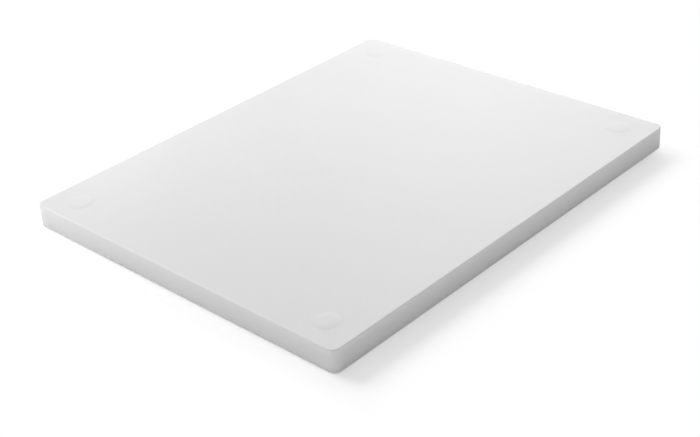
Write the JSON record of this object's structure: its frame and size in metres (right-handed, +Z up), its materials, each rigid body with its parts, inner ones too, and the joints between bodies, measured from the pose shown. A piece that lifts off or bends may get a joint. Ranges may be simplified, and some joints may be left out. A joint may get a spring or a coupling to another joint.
{
  "type": "cutting board",
  "caption": "Reversible rectangular kitchen cutting board: a thick white polyethylene slab with round corners and eased edges, held off the worktop by push-in anti-slip stops.",
  "frame": {"origin": "centre of the footprint, on the plane that the stops stand on", "axes": "+X along the long sides, +Y across the board from its front long side to its rear one, +Z up through the face that is cut on"},
  "size_m": [0.325, 0.265, 0.0161],
  "materials": {
    "white_polyethylene": "satin, with a fine pressed texture on both faces",
    "white_elastomer": "matt"
  },
  "bodies": {
    "board": {"board": "white_polyethylene"},
    "stop_front_left": {"stop_front_left": "white_elastomer"},
    "stop_front_right": {"stop_front_right": "white_elastomer"},
    "stop_rear_right": {"stop_rear_right": "white_elastomer"},
    "stop_rear_left": {"stop_rear_left": "white_elastomer"}
  },
  "joints": [
    {"name": "stop_front_left_push_out", "type": "slide", "parent": "board", "child": "stop_front_left", "axis": [0, 0, 1], "range_m": [0, 0.018]},
    {"name": "stop_front_right_push_out", "type": "slide", "parent": "board", "child": "stop_front_right", "axis": [0, 0, 1], "range_m": [0, 0.018]},
    {"name": "stop_rear_right_push_out", "type": "slide", "parent": "board", "child": "stop_rear_right", "axis": [0, 0, 1], "range_m": [0, 0.018]},
    {"name": "stop_rear_left_push_out", "type": "slide", "parent": "board", "child": "stop_rear_left", "axis": [0, 0, 1], "range_m": [0, 0.018]}
  ]
}
